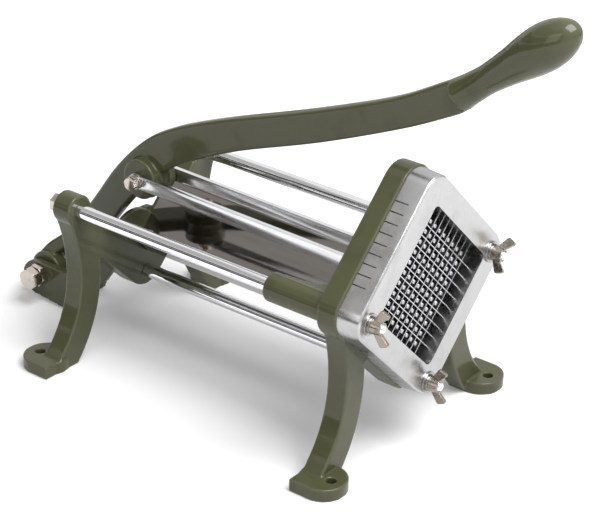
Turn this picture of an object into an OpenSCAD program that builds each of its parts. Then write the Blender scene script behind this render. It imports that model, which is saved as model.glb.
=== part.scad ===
// French fry cutter: a lever pulls a grid of pins along a V-shaped tray and pushes
// the potato through two crossed sets of blades. Millimetres, Z up.
// The origin lies on the table, in the middle of the four foot holes. X points to
// the cutting head. Left is -Y and right is +Y, as seen by someone facing the head.

/* [Frames] */
// Height of the cutting head's axis above the table
axis_z = 148.8; // [144:0.2:170]
// Clear distance between the front and rear frames
frame_gap = 276.6; // [262:0.2:320]
// Thickness of each frame along X
frame_t = 19.6; // [18:0.2:21]
// Width of a leg at its waist
leg_w = 25; // [20:0.5:28]
// Distance of a leg's outer face from the middle, at its waist
leg_out_y = 85; // [82:0.5:90]
// Height of the leg's waist above the table
leg_waist_z = 85; // [80:1:95]
// Radius of the leg's outer face below the waist
leg_low_r = 102; // [92:1:112]
// Radius of the leg's outer face above the waist
leg_high_r = 150; // [130:5:200]
// Spacing of the foot holes across the cutter
foot_span_y = 225.6; // [222:0.2:236]
// Distance of a foot hole from the outer face of its frame
foot_hole_off = 8.1; // [7:0.1:9]
// Radius of the rounded foot
foot_r = 21.1; // [18:0.1:24]
// Thickness of a foot
foot_t = 11.4; // [8:0.2:14]
// Diameter of a foot hole
foot_hole_d = 9; // [6:0.5:11]
// Half side of the front ring, which stands on its corner
ring_half = 79.2; // [79:0.1:84]
// Corner radius of the ring and of the rear cradle
ring_corner_r = 23.5; // [20:0.5:24]
// Half side of the rear cradle's lower edge
cradle_half = 80.5; // [79:0.1:84]
// Thickness of the end wall behind the tray
crest_t = 5; // [3:0.5:8]
// Height of the end wall's top below the head's axis
crest_drop = 33.8; // [30:0.2:40]
// Radius of the end wall's rounded top
crest_r = 30; // [24:0.5:34]

/* [Tray] */
// Depth of the tray's crease below the head's axis
tray_depth = 68; // [64:0.5:69]
// Half width of the tray at its top edges
tray_half_w = 51; // [46:0.5:58]
// Thickness of the tray's sheet
tray_sheet = 1.2; // [0.8:0.1:1.5]
// Length of tray that lies inside the front ring
tray_in_ring = 10; // [4:0.5:11]
// Diameter of the screws that hold the tray
tray_screw_d = 5; // [4:0.5:6]

/* [Guide rods] */
// Diameter of the rods
rod_d = 12.7; // [12:0.1:13]
// Distance of the side rods from the head's axis
side_rod_off = 84.9; // [84.5:0.1:86]
// Distance of the bottom rod below the head's axis
low_rod_off = 89.9; // [87:0.1:90.5]
// Diameter of the threaded ends and of the bolts behind the rear frame
stud_d = 7.94; // [6:0.02:8]
// Depth of the tapped hole in the rear end of a rod
tap_depth = 18; // [12:1:30]
// Radius of the bosses round the rod ends on the rear frame
rod_boss_r = 14.3; // [13:0.1:15.5]

/* [Blade holder] */
// Half side of the holder at its back
holder_half = 77.1; // [76.5:0.1:78.5]
// Thickness of the holder along X
holder_t = 21.4; // [18:0.2:26]
// Corner radius of the holder
holder_corner_r = 20; // [18:0.5:24]
// Inset of the holder's front edge from its back edge
holder_taper = 1.4; // [0.5:0.1:2]
// Width of the bevel round the holder's front
holder_bevel = 1.5; // [0.5:0.1:2.5]
// Half side of the window that the blades cross
window_half = 53; // [50:0.5:54]
// Corner radius of the window
window_corner_r = 6; // [2:0.5:8]

/* [Blades] */
// Distance between blades
blade_pitch = 9.525; // [9:0.025:9.6]
// Number of blades in each of the two crossed sets
blade_count = 9; // [5:2:9]
// Depth of a blade along X
blade_depth = 12.5; // [8:0.5:15]
// Thickness of a blade
blade_t = 0.7; // [0.4:0.05:1]
// Distance of a blade's end inside the holder's side
blade_recess = 3; // [1:0.5:5]
// Clearance beside a blade in its slot
slot_fit = 0.15; // [0.05:0.05:0.25]

/* [Pusher] */
// Side of a square pin
pin_side = 5; // [3:0.25:6]
// Length of a pin
pin_len = 24; // [15:0.5:28]
// Thickness of the plate that the pins stand on
block_t = 10; // [6:0.5:12]
// Thickness of the carriage's plate
carriage_t = 9; // [7:0.5:10]
// Margin of the pusher's plates round the pins
pusher_margin = 0.9; // [0.5:0.1:1]
// Outer diameter of a sleeve
sleeve_d = 25.4; // [23:0.1:25.6]
// Length of a sleeve
sleeve_len = 57.5; // [40:0.5:60]
// Gap between a sleeve and the front frame when the lever is down
sleeve_gap = 2.5; // [0.5:0.1:5]
// Thickness of the carriage's arms
arm_t = 6; // [4:0.5:8]
// Height of the arms' underside above the head's axis
arm_rise = 3.8; // [3.4:0.1:5]
// Diameter of the screws between the two plates
block_screw_d = 6; // [4:0.5:6.5]

/* [Lever] */
// Distance of the hinge behind the middle of the cutter
hinge_x = -250; // [-260:0.5:-246]
// Height of the hinge
hinge_z = 28; // [26:0.5:36]
// Diameter of the hinge bolt
hinge_bolt_d = 12.7; // [10:0.1:13]
// Radius of the lever's hub
hub_r = 19; // [17:0.5:21]
// Space between the ears of the rear frame
ear_gap = 40; // [36:0.5:44]
// Thickness of an ear
ear_t = 8; // [6:0.5:10]
// Thickness of the lever's bar
lever_t = 13; // [10:0.5:16]
// Radius of the rounded edges of the lever's bar
lever_edge_r = 3.2; // [1:0.1:4]
// Length of the grip
grip_len = 130; // [110:1:150]
// Largest radius of the grip
grip_r = 18.8; // [17:0.1:22]
// Tilt of the grip above level
grip_tilt = 38.3; // [34:0.1:42]
// Length of the grip's collar that lies over the bar's end
grip_seat = 0.8; // [0.5:0.1:3]

/* [Links] */
// Distance of the link bolt ahead of the hinge
link_bolt_x = 117; // [112:0.5:122]
// Height of the link bolt above the hinge
link_bolt_z = 128; // [124:0.5:132]
// Distance of the link pin ahead of the middle of the cutter
link_pin_x = 112; // [106:0.5:112.5]
// Height of the link pin above the head's axis
link_pin_rise = 3.7; // [0:0.1:6]
// Space between the two links
link_space = 30; // [26:0.5:34]
// Thickness of a link
link_t = 4.5; // [3:0.1:5]
// Height of a link
link_h = 12.5; // [11:0.1:14]
// Radius of a link's eyes
link_eye_r = 7.5; // [7:0.1:8]
// Diameter of the link bolt
link_bolt_d = 7.94; // [6:0.02:8]
// Diameter of the link pin
link_pin_d = 8; // [6:0.1:9]
// Radius of the lever's boss at the link bolt
link_boss_r = 18.7; // [15:0.1:20]

/* [Fasteners] */
// Outer diameter of a flat washer under a wing nut
washer_d = 19; // [16:0.5:21]
// Thickness of a flat washer under a wing nut
washer_t = 1.6; // [1:0.1:2.5]
// Outer diameter of a spring washer
spring_washer_d = 14.6; // [13:0.1:16]
// Thickness of a spring washer
spring_washer_t = 2; // [1.5:0.1:3]
// Span of a wing nut across its wings
wing_span = 32.5; // [28:0.5:36]
// Height of a wing nut over its wings
wing_h = 15; // [13:0.5:18]
// Height of a wing nut's hub
wing_hub_h = 9; // [7:0.5:11]
// Turn of the left wing nut from upright
wing_turn_left = 0; // [-90:1:90]
// Turn of the right wing nut from upright
wing_turn_right = 38; // [-90:1:90]
// Turn of the bottom wing nut from upright
wing_turn_low = 0; // [-90:1:90]
// Height of the head of a bolt behind the rear frame
rod_bolt_head_h = 9.5; // [4:0.1:10]
// Width across the flats of that head
rod_bolt_af = 15.5; // [12:0.5:16]
// Height of the hinge bolt's head
hinge_head_h = 8; // [6:0.5:10]
// Width across the flats of the hinge bolt's head and jam nut
hinge_af = 19; // [17:0.5:22]
// Height of the hinge bolt's jam nut
hinge_nut_h = 7; // [5:0.5:9]
// Width across the flats of the link bolt's head and nuts
link_af = 11.1; // [11:0.1:14]

/* [Fits] */
// Radial clearance of a shaft that turns or slides in its bore
run_fit = 0.05; // [0.02:0.01:0.09]
// Radial clearance of a bolt in a drilled hole
bolt_fit = 0.2; // [0.1:0.05:0.4]
// Gap between flat faces that slide past each other
side_gap = 0.3; // [0.1:0.05:0.5]

/* [Hidden] */

enamel = [0.35, 0.36, 0.27];
chrome = [0.80, 0.81, 0.83];
nickel = [0.72, 0.67, 0.60];
stainless = [0.72, 0.72, 0.73];
alloy = [0.82, 0.83, 0.84];

tiny = 0.01;
root2 = sqrt(2);

// Frames
rear_x = -frame_gap / 2;                      // front face of the rear frame
front_x = frame_gap / 2;                      // rear face of the front frame
foot_y = foot_span_y / 2;
foot_reach = frame_t + foot_hole_off;
low_rod_z = axis_z - low_rod_off;
rod_places = [[-side_rod_off, axis_z], [side_rod_off, axis_z], [0, low_rod_z]];
leg_top_z = axis_z - 9;
crest_z = axis_z - crest_drop;

// Tray: both walls lean at 45 degrees
tray_apex_z = axis_z - tray_depth;
tray_top_z = tray_apex_z + tray_half_w;
tray_rear_x = rear_x - frame_t + crest_t;
tray_front_x = front_x + tray_in_ring;
tray_wall = tray_sheet * root2;               // the sheet's thickness, measured level
tray_screw_y = 9;
tray_screw_x = rear_x - 5;
tray_screw_len = 14;

// Blade holder and blades, in a grid turned 45 degrees about the head's axis
holder_x = front_x + frame_t;
face_x = holder_x + holder_t;
blade_span = (blade_count - 1) * blade_pitch;
slot_w = blade_t + 2 * slot_fit;
blade_half_len = holder_half - holder_taper * blade_depth / holder_t - blade_recess;

// Fastener stack in front of the holder
washer_x = face_x;
spring_x = washer_x + washer_t;
nut_x = spring_x + spring_washer_t;
stud_tip_x = nut_x + wing_hub_h + 1.8;

// Pusher, when the lever is down: pins stand in columns and rows between the blades
pin_cols = 8;
pin_rows = 10;
sleeve_front_x = front_x - sleeve_gap;
block_front_x = front_x + 7.7;
block_back_x = block_front_x - block_t;
carriage_back_x = block_back_x - carriage_t;
pin_half_u = (pin_rows - 1) / 2 * blade_pitch + pin_side / 2 + pusher_margin;
pin_half_n = (pin_cols - 1) / 2 * blade_pitch + pin_side / 2 + pusher_margin;
arm_z = axis_z + arm_rise;
block_screw_y = 28;
block_screw_rise = 12;
block_screw_head_h = 3.6;

// Links
bolt_at = [hinge_x + link_bolt_x, hinge_z + link_bolt_z];
pin_at = [link_pin_x, axis_z + link_pin_rise];
link_len = norm(pin_at - bolt_at);
link_angle = atan2(pin_at[1] - bolt_at[1], pin_at[0] - bolt_at[0]);
link_in_y = link_space / 2;
link_out_y = link_in_y + link_t;
boss_half = link_in_y - side_gap;
lug_half = link_in_y - 2 * side_gap;
washer_in_y = link_out_y + side_gap / 2;
small_washer_t = 1.2;
jam_h = 3;
link_head_h = 4;

// Ears and hinge
ear_in_y = ear_gap / 2;
ear_out_y = ear_in_y + ear_t;
hub_half = ear_in_y - side_gap;
ear_end_r = 17.3;
ear_low_z = 4.5;
ear_top_z = ear_low_z + 2 * ear_end_r;
ear_root_r = 42;
ear_root_len = 56;
ear_rib_z = crest_z - 6;

// The lever's bar: each station gives a point on its back or top edge and the
// matching point on its front or lower edge, measured from the hinge.
lever_stations = [
    [[-14.6, 11.4], [14.6, -11.4]],
    [[-2.9, 25.6], [27.0, 4.0]],
    [[24.4, 53.0], [48.7, 34.7]],
    [[52.7, 89.9], [76.5, 73.1]],
    [[77.5, 124.3], [100.7, 103.1]],
    [[101.2, 150.2], [122.7, 125.4]],
    [[124.5, 169.8], [142.0, 141.0]],
    [[148.0, 183.3], [162.0, 153.8]],
    [[171.3, 194.2], [184.0, 164.6]],
    [[216.8, 212.2], [227.4, 184.6]],
    [[303.3, 243.8], [313.5, 217.2]],
    [[383.9, 276.8], [394.9, 252.5]],
    [[431.2, 302.4], [443.0, 277.0]],
    [[440.5, 308.0], [452.0, 282.5]]];
// The broad rib along the back of the bar's root: the same two points, and the share
// of the hub's width that it keeps there.
root_stations = [
    [[-14.6, 11.4], [-4.0, 2.0], [0.88, 0]],
    [[-2.9, 26.1], [6.5, 16.5], [0.66, 0]],
    [[12.7, 39.5], [22.0, 30.0], [0.36, 0]],
    [[25.0, 53.6], [34.5, 46.0], [0.16, 0]],
    [[51.0, 87.0], [60.5, 80.5], [-0.02, 0]]];
lever_end = lever_stations[len(lever_stations) - 1];
grip_at = (lever_end[0] + lever_end[1]) / 2 - grip_seat * [cos(grip_tilt), sin(grip_tilt)];
station_steps = 6;
edge_steps = 3;

module front_frame() {
    color(enamel)
    difference() {
        union() {
            along_x(front_x, frame_t) difference() {
                union() {
                    diamond(ring_half, ring_corner_r);
                    both_sides() leg_outline();
                }
                seat_outline();
            }
            feet(front_x, 1);
        }
        rod_holes(front_x - 1, frame_t + 2, stud_d / 2 + bolt_fit);
        foot_holes(front_x, 1);
    }
}

module rear_frame() {
    color(enamel)
    difference() {
        union() {
            along_x(rear_x - frame_t, frame_t) difference() {
                union() {
                    cradle_outline();
                    both_sides() leg_outline();
                    for (p = rod_places) translate(p) circle(r = rod_boss_r, $fn = 64);
                }
                seat_outline();
            }
            crest();
            both_ears() ear_outline();
            feet(rear_x, -1);
        }
        rod_holes(rear_x - frame_t - 1, frame_t + 2, stud_d / 2 + bolt_fit);
        foot_holes(rear_x, -1);
        y_bore(hinge_x, hinge_z, hinge_bolt_d / 2 + run_fit, 2 * ear_out_y + 2);
        tray_screw_places() cylinder(r = tray_screw_d / 2 + run_fit, h = 2 * tray_screw_len,
                                     center = true, $fn = 32);
    }
}

// Lower half of the rear frame, cut back to the outer faces of its legs
module cradle_outline() {
    difference() {
        diamond(cradle_half, ring_corner_r);
        translate([-foot_span_y, axis_z - 4]) square([2 * foot_span_y, foot_span_y]);
        both_sides() translate([leg_out_y + leg_high_r, leg_waist_z]) circle(r = leg_high_r, $fn = 180);
    }
}

// Opening that the tray is seated in, with an inverted V above it for the pusher
module seat_outline() {
    half = tray_depth + tray_wall;
    translate([0, axis_z]) polygon([[0, -half], [half, 0], [0, half], [-half, 0]]);
}

// Wall across the tray's rear end, with a rounded top
module crest() {
    half = crest_z - tray_apex_z + tray_sheet;
    along_x(rear_x - frame_t, crest_t) intersection() {
        polygon([[0, tray_apex_z - 4], [half, crest_z], [-half, crest_z]]);
        translate([0, crest_z - crest_r]) circle(r = crest_r, $fn = 96);
    }
}

// One ear's outline: an eye, a toe near the table and a rib up the frame's rear face
module ear_outline() {
    root_x = rear_x - frame_t;
    toe_x = root_x - ear_root_len;
    rib_x = toe_x + ear_root_r;
    end_x = hinge_x - 5.7;
    web_z = ear_top_z + ear_root_r;
    translate([end_x, ear_low_z + ear_end_r]) circle(r = ear_end_r, $fn = 64);
    difference() {
        polygon([[end_x, ear_low_z], [toe_x - 9, 1.5], [toe_x - 5, 3], [toe_x - 3, 8],
                 [toe_x - 1, 28], [toe_x + 3, 31.5], [toe_x + 10, 32.5], [toe_x + 22, 33],
                 [toe_x + 34, 37], [toe_x + 46, 46], [root_x, 60], [root_x + 4, 64],
                 [root_x + 4, ear_rib_z - 24], [root_x, ear_rib_z - 20], [root_x, ear_rib_z],
                 [root_x - 5, ear_rib_z - 0.5], [root_x - 10, ear_rib_z - 3.5], [rib_x, ear_rib_z - 8],
                 [rib_x, web_z], [toe_x, web_z], [toe_x, ear_top_z], [end_x, ear_top_z]]);
        translate([toe_x, web_z]) circle(r = ear_root_r, $fn = 96);
    }
}

// One leg's outline on the +Y side: rings about points level with its waist
module leg_outline() {
    leg_arc(leg_low_r, -leg_waist_z, leg_waist_z);
    leg_arc(leg_high_r, 0, leg_top_z - leg_waist_z);
    translate([foot_y - foot_r, 0]) square([2 * foot_r, foot_t]);
}

module leg_arc(r, from, height) {
    intersection() {
        translate([leg_out_y + r, leg_waist_z]) difference() {
            circle(r = r + leg_w, $fn = 180);
            circle(r = r, $fn = 180);
        }
        translate([0, leg_waist_z + from]) square([foot_y + foot_r, height]);
    }
}

module feet(inner_x, way) {
    for (s = [-1, 1]) {
        translate([inner_x + way * frame_t, s * foot_y, 0]) cylinder(r = foot_r, h = foot_t, $fn = 72);
        translate([inner_x + way * frame_t / 2, s * foot_y, foot_t / 2])
            cube([frame_t, 2 * foot_r, foot_t], center = true);
    }
}

module foot_holes(inner_x, way) {
    for (s = [-1, 1])
        translate([inner_x + way * foot_reach, s * foot_y, -1])
            cylinder(d = foot_hole_d, h = foot_t + 2, $fn = 40);
}

module tray() {
    wall = tray_wall;
    half = tray_half_w;
    color(stainless)
    difference() {
        along_x(tray_rear_x, tray_front_x - tray_rear_x)
            polygon([[-half, tray_top_z], [0, tray_apex_z], [half, tray_top_z],
                     [half + wall, tray_top_z], [0, tray_apex_z - wall], [-half - wall, tray_top_z]]);
        tray_screw_places() cylinder(r = tray_screw_d / 2 + run_fit, h = 8, center = true, $fn = 32);
    }
}

module tray_screws() {
    color(nickel)
    tray_screw_places() {
        translate([0, 0, -tray_screw_len]) cylinder(d = tray_screw_d, h = tray_screw_len, $fn = 32);
        difference() {
            cylinder(d1 = tray_screw_d * 1.9, d2 = tray_screw_d * 1.5, h = 1.8, $fn = 32);
            translate([0, 0, 1.8]) cube([1, tray_screw_d * 2, 1.6], center = true);
        }
    }
}

// Puts a child with its Z square to each of the tray's walls, on the inner face
module tray_screw_places() {
    for (s = [-1, 1])
        translate([tray_screw_x, s * tray_screw_y, tray_apex_z + tray_screw_y]) rotate([s * 45, 0, 0])
            children();
}

module guide_rod(place) {
    color(chrome)
    difference() {
        union() {
            x_cylinder(rear_x, frame_gap, rod_d / 2, place);
            x_cylinder(front_x - 1, stud_tip_x - front_x - 1, stud_d / 2, place);
            translate([stud_tip_x - 2 - tiny, place[0], place[1]]) rotate([0, 90, 0])
                cylinder(d1 = stud_d, d2 = stud_d * 0.62, h = 2, $fn = 40);
        }
        x_cylinder(rear_x - 1, tap_depth + 1, stud_d / 2 + run_fit, place);
    }
}

module rod_bolts() {
    color(nickel)
    for (p = rod_places) {
        x_cylinder(rear_x - frame_t - tiny, frame_t + tap_depth - 2, stud_d / 2, p);
        translate([rear_x - frame_t - rod_bolt_head_h, p[0], p[1]]) rotate([0, 90, 0])
            hex_prism(rod_bolt_af, rod_bolt_head_h);
    }
}

module blade_holder() {
    color(alloy)
    difference() {
        hull() {
            along_x(holder_x, tiny) diamond(holder_half, holder_corner_r);
            along_x(face_x - holder_bevel, tiny)
                diamond(holder_half - holder_taper, holder_corner_r - holder_taper);
            along_x(face_x - tiny, tiny)
                diamond(holder_half - holder_taper - holder_bevel,
                        holder_corner_r - holder_taper - holder_bevel);
        }
        along_x(holder_x - 1, holder_t + 2) diamond(window_half, window_corner_r);
        rod_holes(holder_x - 1, holder_t + 2, stud_d / 2 + bolt_fit);
        for (turn = [45, -45]) blade_places(turn)
            translate([0, 0, blade_depth / 2 - 1])
                cube([slot_w, 4 * holder_half, blade_depth + 2 + 2 * run_fit], center = true);
    }
}

// A blade set: combs that lock into the other set with half-depth notches
module blades(turn, front_notched) {
    notch_z = front_notched ? blade_depth / 2 - run_fit : -1;
    color(stainless)
    blade_places(turn)
        difference() {
            translate([-blade_t / 2, -blade_half_len, 0])
                cube([blade_t, 2 * blade_half_len, blade_depth]);
            for (k = [0 : blade_count - 1])
                translate([-1, k * blade_pitch - blade_span / 2 - slot_w / 2, notch_z])
                    cube([2, slot_w, blade_depth / 2 + 1 + run_fit]);
        }
}

// Puts a child at each blade: its Z runs forward along the cutter from the holder's
// back, its Y along the blade and its X across the set.
module blade_places(turn) {
    translate([holder_x, 0, axis_z]) rotate([turn, 0, 0]) rotate([90, 0, 90])
        for (k = [0 : blade_count - 1])
            translate([k * blade_pitch - blade_span / 2, 0, 0]) children();
}

module flat_washers() {
    color(chrome)
    for (p = rod_places) ring(washer_x, washer_t, washer_d / 2, stud_d / 2 + bolt_fit, p);
}

module spring_washers() {
    split = 1.4;
    color(chrome)
    for (p = rod_places) difference() {
        ring(spring_x, spring_washer_t, spring_washer_d / 2, stud_d / 2 + bolt_fit, p);
        translate([spring_x + spring_washer_t / 2, p[0], p[1] + spring_washer_d / 2])
            rotate([0, 0, 25]) cube([4 * spring_washer_t, split, spring_washer_d], center = true);
    }
}

module wing_nut(place, turn) {
    hub_r1 = stud_d * 0.86;
    hub_r2 = stud_d * 0.68;
    lobe_r = 1.8;
    paddle_h = 8.4;
    wing_t = 3.2;
    color(nickel)
    translate([nut_x, place[0], place[1]]) rotate([-turn, 0, 0]) rotate([0, 90, 0]) difference() {
        union() {
            cylinder(r1 = hub_r1, r2 = hub_r2, h = wing_hub_h, $fn = 48);
            for (s = [-1, 1])
                rotate([90, 0, 0]) translate([0, 0, -wing_t / 2]) linear_extrude(wing_t) hull() {
                    translate([s * (wing_span / 2 - 2 * lobe_r), wing_h - lobe_r]) circle(r = lobe_r, $fn = 32);
                    translate([s * (wing_span / 2 - lobe_r), wing_h - paddle_h + lobe_r])
                        circle(r = lobe_r, $fn = 32);
                    translate([s * (hub_r2 - 0.5), wing_hub_h - 3.5]) circle(r = 1.6, $fn = 16);
                    translate([s * hub_r2, 1.8]) circle(r = 1.2, $fn = 16);
                }
        }
        translate([0, 0, -1]) cylinder(r = stud_d / 2 + run_fit, h = wing_h + 2, $fn = 40);
    }
}

module pusher_carriage() {
    color(enamel)
    difference() {
        union() {
            grid_plate(carriage_back_x, carriage_t);
            for (s = [-1, 1]) {
                place = [s * side_rod_off, axis_z];
                translate([sleeve_front_x - sleeve_len, place[0], place[1]]) rotate([0, 90, 0])
                    cylinder(r1 = sleeve_d / 2 - 1, r2 = sleeve_d / 2, h = 1.5, $fn = 64);
                x_cylinder(sleeve_front_x - sleeve_len + 1.5, sleeve_len - 1.5, sleeve_d / 2, place);
                arm(s);
            }
            lug();
        }
        for (s = [-1, 1])
            x_cylinder(sleeve_front_x - sleeve_len - 1, sleeve_len + 2, rod_d / 2 + run_fit,
                       [s * side_rod_off, axis_z]);
        block_screw_places() x_cylinder(carriage_back_x - 1, carriage_t + 2,
                                        block_screw_d / 2 + run_fit, [0, 0]);
        pin_seat();
    }
}

// Arm from the plate to a sleeve, with a web that narrows towards the rear
module arm(s) {
    in_y = 34;
    out_y = side_rod_off - sleeve_d / 2 + 4;
    rear = sleeve_front_x - sleeve_len + 6;
    translate([0, 0, arm_z]) linear_extrude(arm_t)
        polygon([[block_back_x, s * in_y], [block_back_x, s * out_y], [rear, s * out_y],
                 [rear, s * (out_y - 0.6)], [carriage_back_x - 14, s * (out_y - 2.5)],
                 [carriage_back_x - 6, s * (out_y - 9)], [carriage_back_x, s * in_y]]);
    along_x(carriage_back_x, carriage_t)
        polygon([[s * in_y, arm_z], [s * out_y, arm_z], [s * out_y, axis_z + sleeve_d / 2 - 3],
                 [s * (in_y + 8), arm_z + 3 * arm_t], [s * in_y, arm_z + 3 * arm_t]]);
}

// Lug between the links: the link pin drops into its open seat
module lug() {
    rear = pin_at[0] - 12;
    low = pin_at[1] - 24;
    top = pin_at[1] + 8;
    along_y(-lug_half, 2 * lug_half)
        polygon([[carriage_back_x + 1, low - 10], [carriage_back_x + 1, top + 4], [carriage_back_x, top + 4],
                 [carriage_back_x - 4, top], [rear + 1, top], [rear, top - 1], [rear, low + 8],
                 [rear + 6, low]]);
}

module pin_seat() {
    seat_r = link_pin_d / 2 + run_fit;
    flare = 24;
    rise = 30;
    across = seat_r / cos(flare);
    spread = rise * tan(flare);
    translate([pin_at[0], 0, pin_at[1]]) {
        rotate([90, 0, 0]) cylinder(r = seat_r, h = 2 * lug_half + 2, center = true, $fn = 48);
        along_y(-lug_half - 1, 2 * lug_half + 2)
            polygon([[-across, 0], [across, 0], [across + spread, rise], [-across - spread, rise]]);
    }
}

module pusher_block() {
    color(alloy)
    difference() {
        union() {
            grid_plate(block_back_x, block_t);
            in_grid() for (i = [0 : pin_rows - 1], j = [0 : pin_cols - 1])
                translate([block_front_x - tiny + pin_len / 2,
                           (j - (pin_cols - 1) / 2) * blade_pitch,
                           (i - (pin_rows - 1) / 2) * blade_pitch])
                    cube([pin_len + tiny, pin_side, pin_side], center = true);
        }
        block_screw_places() x_cylinder(block_back_x - 1, block_t - 1, block_screw_d / 2 + run_fit, [0, 0]);
    }
}

module block_screws() {
    color(nickel)
    block_screw_places() {
        x_cylinder(carriage_back_x - tiny, carriage_t + block_t - 3, block_screw_d / 2, [0, 0]);
        translate([carriage_back_x - block_screw_head_h, 0, 0]) rotate([0, 90, 0]) difference() {
            cylinder(r1 = block_screw_d * 0.75, r2 = block_screw_d * 0.85, h = block_screw_head_h, $fn = 40);
            translate([0, 0, -1]) cylinder(d = block_screw_d * 0.9, h = 3, $fn = 6);
        }
    }
}

module block_screw_places() {
    for (a = [-1, 1], b = [-1, 1])
        translate([0, a * block_screw_y, axis_z + b * block_screw_rise]) children();
}

// Plate that backs the pins, turned with the blade grid
module grid_plate(x, t) {
    in_grid() translate([x + t / 2, 0, 0]) cube([t, 2 * pin_half_n, 2 * pin_half_u], center = true);
}

// The grid's own axes: Y runs along a row of pins and Z up a column
module in_grid() {
    translate([0, 0, axis_z]) rotate([-45, 0, 0]) children();
}

module link(s) {
    color(chrome)
    translate([bolt_at[0], s > 0 ? link_in_y : -link_out_y, bolt_at[1]]) rotate([0, -link_angle, 0])
        along_y(0, link_t) difference() {
            union() {
                translate([0, -link_h / 2]) square([link_len, link_h]);
                circle(r = link_eye_r, $fn = 64);
                translate([link_len, 0]) circle(r = link_eye_r, $fn = 64);
            }
            circle(r = link_bolt_d / 2 + run_fit, $fn = 48);
            translate([link_len, 0]) circle(r = link_pin_d / 2 + run_fit / 2, $fn = 48);
        }
}

module link_pin() {
    color(chrome)
    y_bore(pin_at[0], pin_at[1], link_pin_d / 2, 2 * link_out_y + 6);
}

module link_pin_clips() {
    clip_t = 1.2;
    color(nickel)
    for (s = [-1, 1])
        translate([pin_at[0], s * (link_out_y + 1), pin_at[1]]) rotate([90, 0, 0]) difference() {
            cylinder(r = link_pin_d / 2 + 2.4, h = clip_t, center = true, $fn = 40);
            cylinder(r = link_pin_d / 2 + run_fit, h = clip_t + 2, center = true, $fn = 40);
            translate([0, link_pin_d, 0]) cube([link_pin_d / 2, 2 * link_pin_d, 3], center = true);
        }
}

module lever() {
    color(enamel)
    difference() {
        union() {
            translate([hinge_x, 0, hinge_z]) {
                skin([for (s = lever_stations) [s[0], s[1], [0, 0]]]);
                skin(root_stations);
                translate([grip_at[0], 0, grip_at[1]]) rotate([0, 90 - grip_tilt, 0]) grip();
            }
            y_bore(hinge_x, hinge_z, hub_r, 2 * hub_half);
            y_bore(bolt_at[0], bolt_at[1], link_boss_r, 2 * boss_half);
            for (s = [-1, 1]) translate([bolt_at[0], 0, bolt_at[1]]) rotate([s * 90, 0, 0])
                translate([0, 0, lever_t / 2 - 1]) cylinder(r1 = link_boss_r + 1.5, r2 = link_boss_r, h = 2.5, $fn = 64);
        }
        y_bore(hinge_x, hinge_z, hinge_bolt_d / 2 + run_fit, 2 * ear_out_y);
        y_bore(bolt_at[0], bolt_at[1], link_bolt_d / 2 + run_fit, 2 * link_out_y);
    }
}

// Body of revolution along Z: a short collar, a neck and a pear-shaped bulb
module grip() {
    knots = [[0, 0.705], [0.02, 0.735], [0.10, 0.68], [0.25, 0.645], [0.43, 0.76],
             [0.61, 0.945], [0.735, 1.0], [0.85, 0.89], [0.94, 0.62], [0.985, 0.31], [1, 0]];
    rotate_extrude($fn = 96)
        polygon(concat([[0, 0]], [for (p = smooth(knots, 4)) [max(p[1], 0) * grip_r, p[0] * grip_len]]));
}

// One skin over rounded rectangles, one at each station
module skin(stations) {
    rings = [for (s = smooth(stations, station_steps)) bar_ring(s)];
    count = len(rings[0]);
    last = len(rings) - 1;
    polyhedron(
        points = [for (r = rings, p = r) p],
        faces = concat(
            [[for (i = [0 : count - 1]) i]],
            [for (k = [0 : last - 1], i = [0 : count - 1])
                [k * count + i, (k + 1) * count + i, (k + 1) * count + (i + 1) % count]],
            [for (k = [0 : last - 1], i = [0 : count - 1])
                [k * count + i, (k + 1) * count + (i + 1) % count, k * count + (i + 1) % count]],
            [[for (i = [count - 1 : -1 : 0]) last * count + i]]));
}

// A station's third pair starts with how far its width goes from the bar's to the hub's
function bar_ring(s) =
    let (mid = (s[0] + s[1]) / 2, up = (s[0] - s[1]) / norm(s[0] - s[1]),
         h = norm(s[0] - s[1]) / 2 - lever_edge_r,
         w = lever_t / 2 + s[2][0] * (hub_half - lever_t / 2) - lever_edge_r)
    [for (c = [[1, 1, 0], [-1, 1, 90], [-1, -1, 180], [1, -1, 270]], j = [0 : edge_steps])
        let (a = c[2] + j * 90 / edge_steps, y = c[0] * w + lever_edge_r * cos(a),
             v = c[1] * h + lever_edge_r * sin(a))
        [mid[0] + up[0] * v, y, mid[1] + up[1] * v]];

// A smooth path through a list of values, with n steps between neighbours
function smooth(p, n) = concat(
    [for (i = [0 : len(p) - 2], k = [0 : n - 1])
        blend(p[max(i - 1, 0)], p[i], p[i + 1], p[min(i + 2, len(p) - 1)], k / n)],
    [p[len(p) - 1]]);
function blend(a, b, c, d, t) =
    b + (c - a) * (t / 2) + (2 * a - 5 * b + 4 * c - d) * (t * t / 2)
    + (3 * b - a - 3 * c + d) * (t * t * t / 2);

module link_bolt() {
    near = washer_in_y + small_washer_t + jam_h;
    far = washer_in_y + small_washer_t + 2 * jam_h;
    color(nickel) {
        along_y(-near - tiny, near + far + tiny) translate(bolt_at) circle(d = link_bolt_d, $fn = 48);
        translate([bolt_at[0], -near, bolt_at[1]]) rotate([90, 12, 0]) hex_prism(link_af, link_head_h);
    }
}

module link_bolt_washers() {
    color(nickel)
    for (s = [-1, 1])
        along_y(s > 0 ? washer_in_y : -washer_in_y - small_washer_t, small_washer_t)
            translate(bolt_at) difference() {
                circle(d = link_af * 1.3, $fn = 48);
                circle(r = link_bolt_d / 2 + run_fit / 2, $fn = 48);
            }
}

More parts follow.
